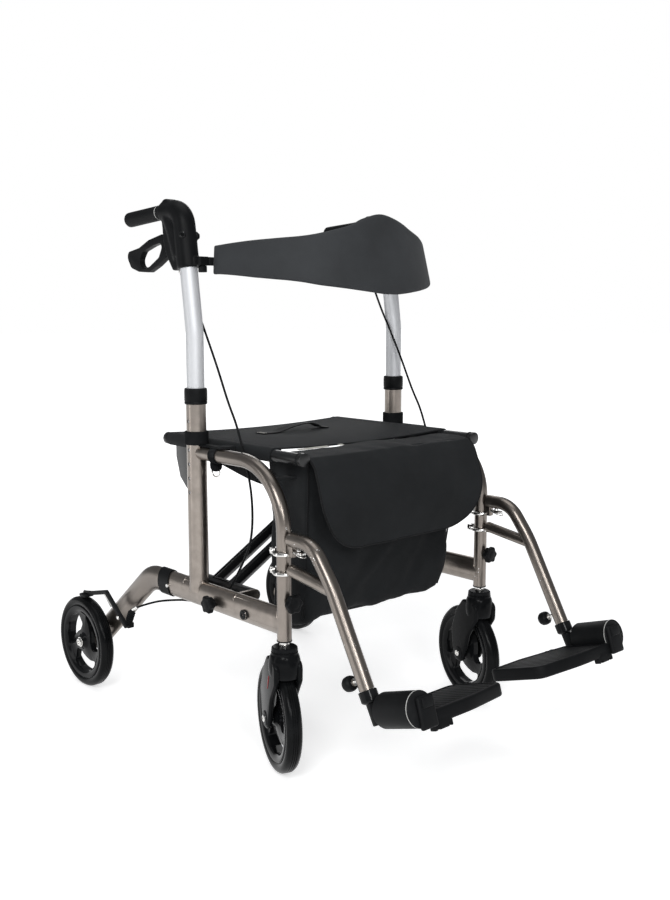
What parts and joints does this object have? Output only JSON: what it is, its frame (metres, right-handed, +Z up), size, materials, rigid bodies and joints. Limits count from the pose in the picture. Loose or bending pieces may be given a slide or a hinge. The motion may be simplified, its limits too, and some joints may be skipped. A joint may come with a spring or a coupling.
{
  "type": "rollator",
  "caption": "Rollator with scissor-folding fabric seat, padded backrest, under-seat bag, loop brake levers and swing-away footrests.",
  "frame": {"origin": "on the floor, at the centre of the bounding box", "axes": "+X across to the pusher's left, +Y to the rear where the grips are, +Z up"},
  "size_m": [0.608, 1.038, 0.986],
  "materials": {
    "champagne_paint": "satin metallic",
    "silver_tube": "satin anodised",
    "black_tube": "satin",
    "plated_steel": "bright",
    "black_plastic": "fine texture",
    "black_tyre": "smooth grooved",
    "black_cloth": "woven",
    "charcoal_cloth": "knitted mesh over padding"
  },
  "bodies": {
    "right_frame": {"rail_right": "champagne_paint", "post_right": "champagne_paint", "front_arch_right": "champagne_paint", "post_collar_right": "black_plastic", "seat_rest_right": "black_plastic", "rear_leg_right": "champagne_paint", "rear_leg_collar_right": "black_plastic", "brake_housing_right": "black_plastic", "brake_cable_right": "black_plastic", "bag": "black_cloth"},
    "left_frame": {"rail_left": "champagne_paint", "post_left": "champagne_paint", "front_arch_left": "champagne_paint", "post_collar_left": "black_plastic", "seat_rest_left": "black_plastic", "rear_leg_left": "champagne_paint", "rear_leg_collar_left": "black_plastic", "brake_housing_left": "black_plastic", "brake_cable_left": "black_plastic"},
    "brace_a": {"brace_a": "black_tube", "seat": "black_cloth"},
    "brace_b": {"brace_b": "black_tube"},
    "bag_flap": {"bag_flap": "black_cloth"},
    "rear_wheel_right": {"rear_tyre_right": "black_tyre", "rear_rim_right": "black_plastic"},
    "caster_right": {"caster_fork_right": "black_plastic"},
    "caster_wheel_right": {"caster_tyre_right": "black_tyre", "caster_rim_right": "black_plastic"},
    "handle_right": {"handle_tube_right": "silver_tube", "handle_head_right": "black_plastic", "grip_right": "black_plastic"},
    "brake_lever_right": {"brake_lever_right": "black_plastic"},
    "brake_arm_right": {"brake_arm_right": "black_plastic"},
    "backrest_right": {"backrest_arm_right": "black_plastic", "backrest_pad": "charcoal_cloth"},
    "footrest_hanger_right": {"footrest_hanger_right": "champagne_paint"},
    "footrest_slider_right": {"footrest_slider_right": "black_plastic"},
    "footplate_right": {"footplate_right": "black_plastic"},
    "footrest_knob_right": {"footrest_knob_right": "black_plastic"},
    "swing_latch_right": {"swing_latch_right": "plated_steel"},
    "rail_knob_right": {"rail_knob_right": "black_plastic"},
    "front_knob_right": {"front_knob_right": "black_plastic"},
    "rear_wheel_left": {"rear_tyre_left": "black_tyre", "rear_rim_left": "black_plastic"},
    "caster_left": {"caster_fork_left": "black_plastic"},
    "caster_wheel_left": {"caster_tyre_left": "black_tyre", "caster_rim_left": "black_plastic"},
    "handle_left": {"handle_tube_left": "silver_tube", "handle_head_left": "black_plastic", "grip_left": "black_plastic"},
    "brake_lever_left": {"brake_lever_left": "black_plastic"},
    "brake_arm_left": {"brake_arm_left": "black_plastic"},
    "backrest_left": {"backrest_arm_left": "black_plastic"},
    "footrest_hanger_left": {"footrest_hanger_left": "champagne_paint"},
    "footrest_slider_left": {"footrest_slider_left": "black_plastic"},
    "footplate_left": {"footplate_left": "black_plastic"},
    "footrest_knob_left": {"footrest_knob_left": "black_plastic"},
    "swing_latch_left": {"swing_latch_left": "plated_steel"},
    "rail_knob_left": {"rail_knob_left": "black_plastic"},
    "front_knob_left": {"front_knob_left": "black_plastic"}
  },
  "joints": [
    {"name": "fold", "type": "hinge", "parent": "right_frame", "child": "brace_a", "pos_m": [-0.216, 0, 0.285], "axis": [0, -1, 0], "range_deg": [0, 43], "deforming": ["seat", "bag", "bag_flap", "backrest_pad"]},
    {"name": "brace_cross", "type": "hinge", "parent": "brace_a", "child": "brace_b", "pos_m": [0, 0, 0.414], "axis": [0, -1, 0], "range_deg": [-86, 0]},
    {"name": "left_fold", "type": "hinge", "parent": "brace_b", "child": "left_frame", "pos_m": [0.216, 0, 0.285], "axis": [0, -1, 0], "range_deg": [0, 43]},
    {"name": "bag_flap_lift", "type": "hinge", "parent": "right_frame", "child": "bag_flap", "pos_m": [0, -0.14, 0.547], "axis": [-1, 0, 0], "range_deg": [0, 110]},
    {"name": "rear_wheel_right", "type": "hinge", "parent": "right_frame", "child": "rear_wheel_right", "pos_m": [-0.2845, 0.424, 0.095], "axis": [1, 0, 0], "continuous": true},
    {"name": "caster_swivel_right", "type": "hinge", "parent": "right_frame", "child": "caster_right", "pos_m": [-0.253, -0.198, 0.24], "axis": [0, 0, 1], "continuous": true},
    {"name": "caster_wheel_right", "type": "hinge", "parent": "caster_right", "child": "caster_wheel_right", "pos_m": [-0.23989, -0.16555, 0.095], "axis": [0.9272, -0.3746, 0], "continuous": true},
    {"name": "handle_height_right", "type": "slide", "parent": "right_frame", "child": "handle_right", "axis": [0, 0, 1], "range_m": [-0.09, 0.025], "deforming": ["brake_cable_right"]},
    {"name": "brake_lever_right", "type": "hinge", "parent": "handle_right", "child": "brake_lever_right", "pos_m": [-0.253, 0.113, 0.913], "axis": [1, 0, 0], "range_deg": [0, 12], "stiffness_Nm_per_rad": 1.5, "springref_deg": -14.32},
    {"name": "brake_arm_right", "type": "hinge", "parent": "right_frame", "child": "brake_arm_right", "pos_m": [-0.2845, 0.283, 0.178], "axis": [-1, 0, 0], "range_deg": [0, 1]},
    {"name": "backrest_right", "type": "hinge", "parent": "handle_right", "child": "backrest_right", "pos_m": [-0.253, 0.036, 0.874], "axis": [-1, 0, 0], "range_deg": [0, 180]},
    {"name": "footrest_swing_right", "type": "hinge", "parent": "right_frame", "child": "footrest_hanger_right", "pos_m": [-0.253, -0.198, 0.358], "axis": [0, 0, -1], "range_deg": [0, 90]},
    {"name": "footrest_slide_right", "type": "slide", "parent": "footrest_hanger_right", "child": "footrest_slider_right", "axis": [0, -0.4835, -0.8754], "range_m": [0, 0.075]},
    {"name": "footplate_flip_right", "type": "hinge", "parent": "footrest_slider_right", "child": "footplate_right", "pos_m": [-0.253, -0.4247, 0.1869], "axis": [0, -0.9511, 0.309], "range_deg": [0, 71]},
    {"name": "footrest_knob_right", "type": "slide", "parent": "footrest_hanger_right", "child": "footrest_knob_right", "axis": [0, 0.8754, -0.4835], "range_m": [0, 0.008], "stiffness_N_per_m": 200, "springref_m": -0.005},
    {"name": "swing_latch_right", "type": "hinge", "parent": "footrest_hanger_right", "child": "swing_latch_right", "pos_m": [-0.253, -0.236, 0.404], "axis": [0, 0, 1], "range_deg": [0, 25], "stiffness_Nm_per_rad": 0.002, "springref_deg": -17.19},
    {"name": "rail_knob_right", "type": "hinge", "parent": "right_frame", "child": "rail_knob_right", "pos_m": [-0.2655, -0.014, 0.2675], "axis": [1, 0, 0], "continuous": true},
    {"name": "front_knob_right", "type": "hinge", "parent": "right_frame", "child": "front_knob_right", "pos_m": [-0.253, -0.2105, 0.309], "axis": [0, 1, 0], "continuous": true},
    {"name": "rear_wheel_left", "type": "hinge", "parent": "left_frame", "child": "rear_wheel_left", "pos_m": [0.2845, 0.424, 0.095], "axis": [1, 0, 0], "continuous": true},
    {"name": "caster_swivel_left", "type": "hinge", "parent": "left_frame", "child": "caster_left", "pos_m": [0.253, -0.198, 0.24], "axis": [0, 0, 1], "continuous": true},
    {"name": "caster_wheel_left", "type": "hinge", "parent": "caster_left", "child": "caster_wheel_left", "pos_m": [0.26206, -0.16419, 0.095], "axis": [0.9659, -0.2588, 0], "continuous": true},
    {"name": "handle_height_left", "type": "slide", "parent": "left_frame", "child": "handle_left", "axis": [0, 0, 1], "range_m": [-0.09, 0.025], "deforming": ["brake_cable_left"]},
    {"name": "brake_lever_left", "type": "hinge", "parent": "handle_left", "child": "brake_lever_left", "pos_m": [0.253, 0.113, 0.913], "axis": [1, 0, 0], "range_deg": [0, 12], "stiffness_Nm_per_rad": 1.5, "springref_deg": -14.32},
    {"name": "brake_arm_left", "type": "hinge", "parent": "left_frame", "child": "brake_arm_left", "pos_m": [0.2845, 0.283, 0.178], "axis": [-1, 0, 0], "range_deg": [0, 1]},
    {"name": "backrest_left", "type": "hinge", "parent": "handle_left", "child": "backrest_left", "pos_m": [0.253, 0.036, 0.874], "axis": [-1, 0, 0], "range_deg": [0, 180]},
    {"name": "footrest_swing_left", "type": "hinge", "parent": "left_frame", "child": "footrest_hanger_left", "pos_m": [0.253, -0.198, 0.358], "axis": [0, 0, 1], "range_deg": [0, 90]},
    {"name": "footrest_slide_left", "type": "slide", "parent": "footrest_hanger_left", "child": "footrest_slider_left", "axis": [0, -0.4835, -0.8754], "range_m": [0, 0.075]},
    {"name": "footplate_flip_left", "type": "hinge", "parent": "footrest_slider_left", "child": "footplate_left", "pos_m": [0.253, -0.4247, 0.1869], "axis": [0, 0.9511, -0.309], "range_deg": [0, 71]},
    {"name": "footrest_knob_left", "type": "slide", "parent": "footrest_hanger_left", "child": "footrest_knob_left", "axis": [0, 0.8754, -0.4835], "range_m": [0, 0.008], "stiffness_N_per_m": 200, "springref_m": -0.005},
    {"name": "swing_latch_left", "type": "hinge", "parent": "footrest_hanger_left", "child": "swing_latch_left", "pos_m": [0.253, -0.236, 0.404], "axis": [0, 0, 1], "range_deg": [0, 25], "stiffness_Nm_per_rad": 0.002, "springref_deg": -17.19},
    {"name": "rail_knob_left", "type": "hinge", "parent": "left_frame", "child": "rail_knob_left", "pos_m": [0.2655, -0.014, 0.2675], "axis": [1, 0, 0], "continuous": true},
    {"name": "front_knob_left", "type": "hinge", "parent": "left_frame", "child": "front_knob_left", "pos_m": [0.253, -0.2105, 0.309], "axis": [0, 1, 0], "continuous": true}
  ],
  "couplings": [
    {"joint": "brace_cross", "follows": "fold", "ratio": -2},
    {"joint": "left_fold", "follows": "fold", "ratio": 1},
    {"joint": "brake_arm_right", "follows": "brake_lever_right", "ratio": 0.06},
    {"joint": "footplate_flip_right", "follows": "fold", "ratio": 1.65},
    {"joint": "brake_arm_left", "follows": "brake_lever_left", "ratio": 0.06},
    {"joint": "footplate_flip_left", "follows": "fold", "ratio": 1.65},
    {"joint": "handle_height_left", "follows": "handle_height_right", "ratio": 1},
    {"joint": "backrest_left", "follows": "backrest_right", "ratio": 1}
  ]
}
